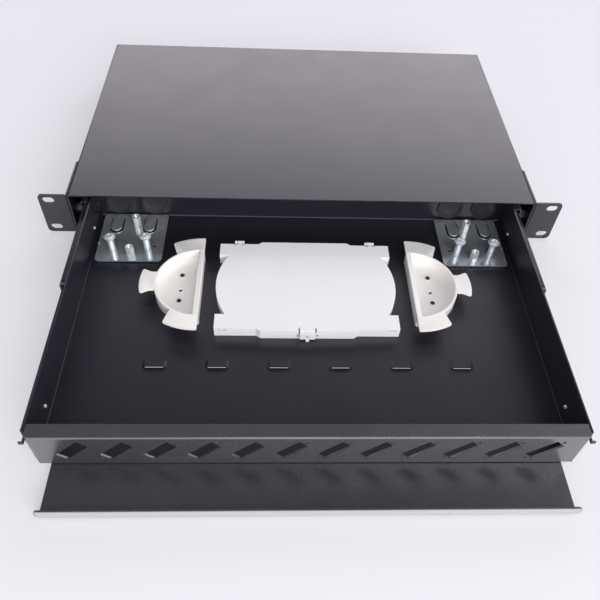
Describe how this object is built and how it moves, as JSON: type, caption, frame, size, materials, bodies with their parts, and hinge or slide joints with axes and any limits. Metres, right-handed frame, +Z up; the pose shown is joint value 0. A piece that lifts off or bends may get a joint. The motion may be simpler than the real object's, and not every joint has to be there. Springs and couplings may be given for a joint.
{
  "type": "fiber termination box",
  "caption": "Rack-mount fibre termination box with a sliding drawer, slanted adapter cutouts, a hinged splice tray, fibre spools and cable clamp plates.",
  "frame": {"origin": "middle of the case's front bottom edge, in the plane of the rack ears' front faces", "axes": "+X to the right seen from the front, +Y to the back, +Z up; the drawer pulls out along -Y"},
  "size_m": [0.4826, 0.5518, 0.044],
  "materials": {
    "panel_coat": "satin black coat, smoother and glossier",
    "powder_coat": "semi-matte black powder coat with a fine texture",
    "slide_steel": "satin black electrophoretic coat",
    "ball_cages": "bright steel balls in a pressed strip",
    "bumper_plastic": "dark grey moulded plastic",
    "strip_grey": "light grey satin film",
    "plug_plastic": "black moulded plastic",
    "zinc_plate": "bright zinc-plated sheet with rolling marks",
    "zinc_fasteners": "bright zinc-plated turned steel",
    "black_screws": "black oxide",
    "tray_plastic": "cool white satin ABS",
    "spool_plastic": "warm white satin ABS"
  },
  "bodies": {
    "case": {"shell_cover": "powder_coat", "shell_base": "powder_coat", "cover_screws": "zinc_fasteners", "left_rack_ear": "powder_coat", "right_rack_ear": "powder_coat", "ear_screws": "black_screws", "left_slide_outer": "slide_steel", "right_slide_outer": "slide_steel", "slide_spacers": "slide_steel", "slide_outer_screws": "zinc_fasteners"},
    "slide_middles": {"left_slide_middle": "slide_steel", "right_slide_middle": "slide_steel", "left_slide_bumper": "bumper_plastic", "right_slide_bumper": "bumper_plastic"},
    "outer_ball_cages": {"left_outer_ball_cage": "ball_cages", "right_outer_ball_cage": "ball_cages"},
    "inner_ball_cages": {"left_inner_ball_cage": "ball_cages", "right_inner_ball_cage": "ball_cages"},
    "drawer": {"drawer_pan": "powder_coat", "adapter_panel": "panel_coat", "front_cable_tray": "panel_coat", "marking_strip": "strip_grey", "left_slide_inner": "slide_steel", "right_slide_inner": "slide_steel", "drawer_slide_screws": "zinc_fasteners", "left_clamp_plate": "zinc_plate", "right_clamp_plate": "zinc_plate", "left_tall_posts": "zinc_fasteners", "right_tall_posts": "zinc_fasteners", "left_clamp_washers": "zinc_fasteners", "right_clamp_washers": "zinc_fasteners", "left_clamp_screws": "zinc_fasteners", "right_clamp_screws": "zinc_fasteners", "left_short_posts": "zinc_fasteners", "right_short_posts": "zinc_fasteners", "plate_spacers": "zinc_fasteners", "left_fiber_spool": "spool_plastic", "right_fiber_spool": "spool_plastic", "spool_screws": "black_screws", "splice_tray_base": "tray_plastic", "splice_holders": "tray_plastic", "splice_tray_screws": "zinc_fasteners", "splice_hinge_pins": "zinc_fasteners"},
    "splice_cover": {"splice_tray_cover": "tray_plastic"},
    "plug_1": {"entry_plug_1": "plug_plastic"},
    "plug_2": {"entry_plug_2": "plug_plastic"},
    "plug_3": {"entry_plug_3": "plug_plastic"},
    "plug_4": {"entry_plug_4": "plug_plastic"}
  },
  "joints": [
    {"name": "drawer_slide", "type": "slide", "parent": "case", "child": "drawer", "axis": [0, -1, 0], "range_m": [-0.241, 0]},
    {"name": "middle_slide", "type": "slide", "parent": "case", "child": "slide_middles", "axis": [0, -1, 0], "range_m": [-0.1205, 0]},
    {"name": "outer_cage_roll", "type": "slide", "parent": "case", "child": "outer_ball_cages", "axis": [0, -1, 0], "range_m": [-0.06025, 0]},
    {"name": "inner_cage_roll", "type": "slide", "parent": "case", "child": "inner_ball_cages", "axis": [0, -1, 0], "range_m": [-0.18075, 0]},
    {"name": "splice_cover_hinge", "type": "hinge", "parent": "drawer", "child": "splice_cover", "pos_m": [0, -0.0248, 0.0116], "axis": [-1, 0, 0], "range_deg": [0, 105]},
    {"name": "plug_1_pull", "type": "slide", "parent": "drawer", "child": "plug_1", "axis": [0, 1, 0], "range_m": [0, 0.02]},
    {"name": "plug_2_pull", "type": "slide", "parent": "drawer", "child": "plug_2", "axis": [0, 1, 0], "range_m": [0, 0.02]},
    {"name": "plug_3_pull", "type": "slide", "parent": "drawer", "child": "plug_3", "axis": [0, 1, 0], "range_m": [0, 0.02]},
    {"name": "plug_4_pull", "type": "slide", "parent": "drawer", "child": "plug_4", "axis": [0, 1, 0], "range_m": [0, 0.02]}
  ],
  "couplings": [
    {"joint": "middle_slide", "follows": "drawer_slide", "ratio": 0.5},
    {"joint": "outer_cage_roll", "follows": "drawer_slide", "ratio": 0.25},
    {"joint": "inner_cage_roll", "follows": "drawer_slide", "ratio": 0.75}
  ]
}
